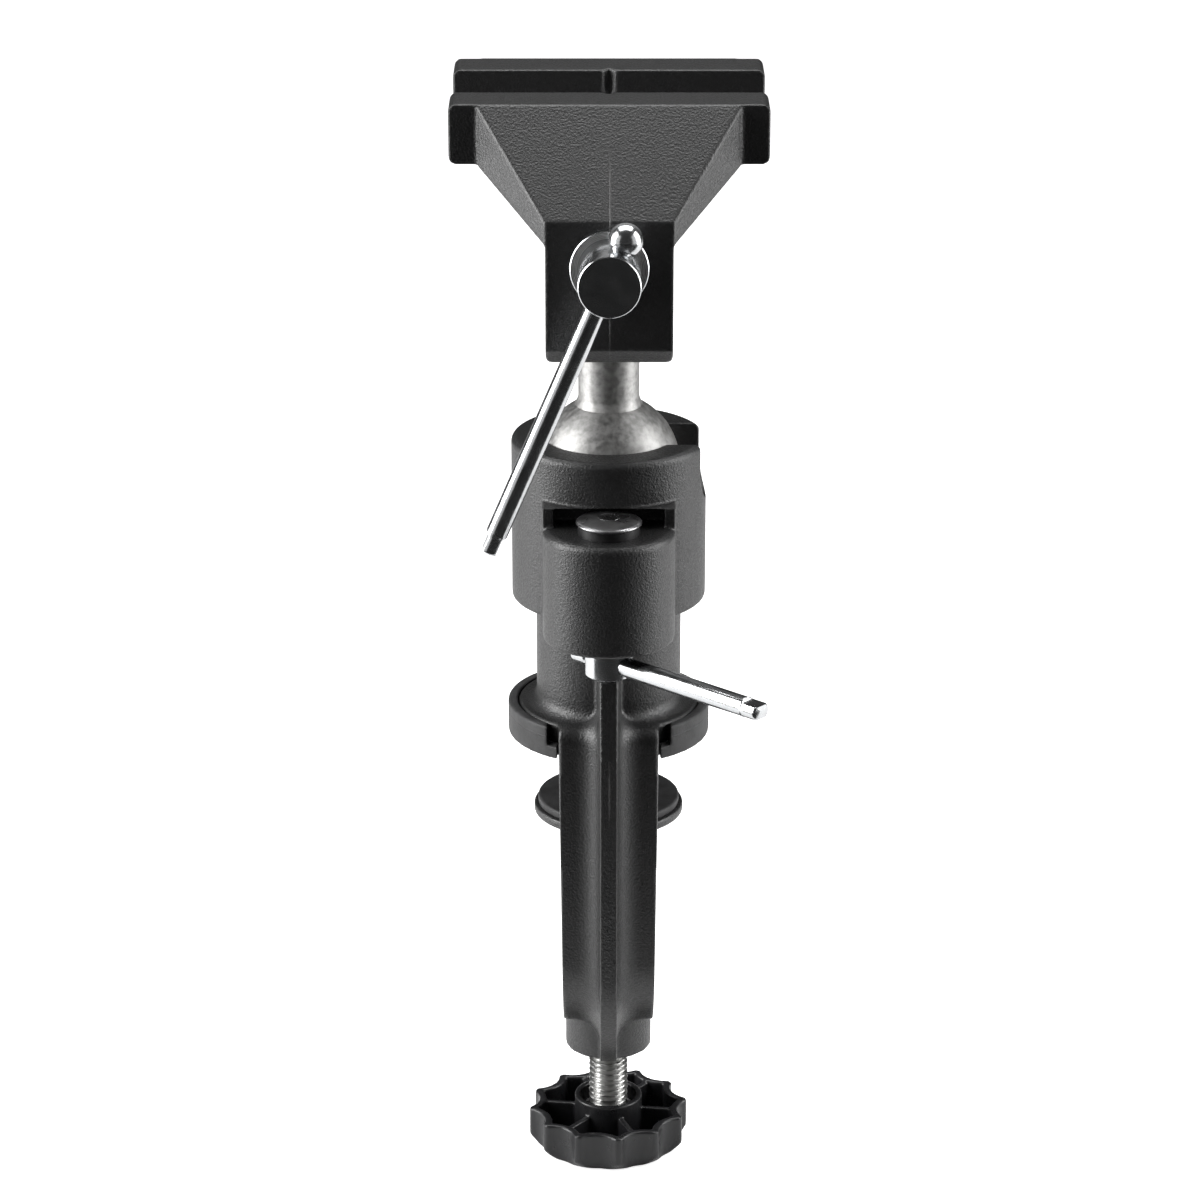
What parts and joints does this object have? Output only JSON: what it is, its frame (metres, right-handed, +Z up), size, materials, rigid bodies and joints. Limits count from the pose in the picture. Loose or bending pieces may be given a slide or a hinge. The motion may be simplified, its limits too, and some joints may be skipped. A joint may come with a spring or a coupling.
{
  "type": "ball-joint table vise",
  "caption": "Small bench vise on a locking ball joint, with a C-shaped clamp that grips the edge of a bench top.",
  "frame": {"origin": "centre of the bench pad's underside, on the bench top", "axes": "+Z up along the column, +X along the jaws, -Y towards the user, where the spindle's head is"},
  "size_m": [0.075, 0.1505, 0.2827],
  "materials": {
    "coated_casting": "black textured powder coat",
    "black_rubber": "matt",
    "black_plastic": "semi-gloss moulded",
    "bright_chrome": "polished",
    "turned_steel": "satin turned",
    "zinc_steel": "zinc plated",
    "black_steel": "black oxide",
    "bronze": "sintered bronze"
  },
  "bodies": {
    "base": {"clamp_frame": "coated_casting", "bench_pad": "black_rubber", "socket_cap": "coated_casting", "cap_pin": "zinc_steel", "ball_seat": "bronze", "lock_bolt": "bright_chrome", "lock_washer": "black_steel", "thrust_washer": "zinc_steel"},
    "ball_body": {"ball": "turned_steel"},
    "stem_body": {"stem": "turned_steel"},
    "head": {"fixed_jaw": "coated_casting", "spindle_nut": "zinc_steel", "stem_screw": "black_steel", "stem_washer": "zinc_steel"},
    "jaw_slider": {"moving_jaw": "coated_casting"},
    "spindle_body": {"spindle": "bright_chrome", "spindle_clip": "black_steel", "clip_washer": "zinc_steel"},
    "t_bar": {"spindle_bar": "bright_chrome", "bar_ball": "bright_chrome"},
    "nut_body": {"lock_nut": "bright_chrome"},
    "lock_lever": {"lock_bar": "bright_chrome"},
    "pad_body": {"pressure_pad": "coated_casting", "pad_facing": "black_rubber", "pad_clip": "zinc_steel"},
    "screw_body": {"clamp_screw": "zinc_steel", "clamp_knob": "black_plastic", "knob_insert": "bronze"}
  },
  "joints": [
    {"name": "nod", "type": "hinge", "parent": "base", "child": "ball_body", "pos_m": [0, 0, 0.07], "axis": [1, 0, 0], "range_deg": [-20, 20]},
    {"name": "tilt", "type": "hinge", "parent": "ball_body", "child": "stem_body", "pos_m": [0, 0, 0.07], "axis": [0, 1, 0], "range_deg": [-32, 90]},
    {"name": "head_spin", "type": "hinge", "parent": "stem_body", "child": "head", "pos_m": [0, 0, 0.11], "axis": [0, 0, 1], "continuous": true},
    {"name": "jaw_slide", "type": "slide", "parent": "head", "child": "jaw_slider", "axis": [0, 1, 0], "range_m": [-0.0356, 0.0223]},
    {"name": "spindle_turn", "type": "hinge", "parent": "jaw_slider", "child": "spindle_body", "pos_m": [0, -0.058, 0.1338], "axis": [0, 1, 0], "range_deg": [-6411.6, 4017.6]},
    {"name": "t_bar_slide", "type": "slide", "parent": "spindle_body", "child": "t_bar", "axis": [0.3907, 0, 0.9205], "range_m": [0, 0.0595]},
    {"name": "lock_turn", "type": "hinge", "parent": "base", "child": "nut_body", "pos_m": [0, -0.0274, 0.0282], "axis": [0, 0, 1], "range_deg": [0, 80]},
    {"name": "lock_bar_slide", "type": "slide", "parent": "nut_body", "child": "lock_lever", "axis": [0.7373, -0.6756, 0], "range_m": [-0.002, 0]},
    {"name": "pad_travel", "type": "slide", "parent": "base", "child": "pad_body", "axis": [0, 0, 1], "range_m": [-0.03, 0.0144]},
    {"name": "screw_turn", "type": "hinge", "parent": "pad_body", "child": "screw_body", "pos_m": [0, 0, -0.1], "axis": [0, 0, 1], "range_deg": [-7203.6, 3459.6]}
  ],
  "couplings": [
    {"joint": "spindle_turn", "follows": "jaw_slide", "rad_per_m": 3141.6},
    {"joint": "screw_turn", "follows": "pad_travel", "rad_per_m": 4188.8}
  ]
}
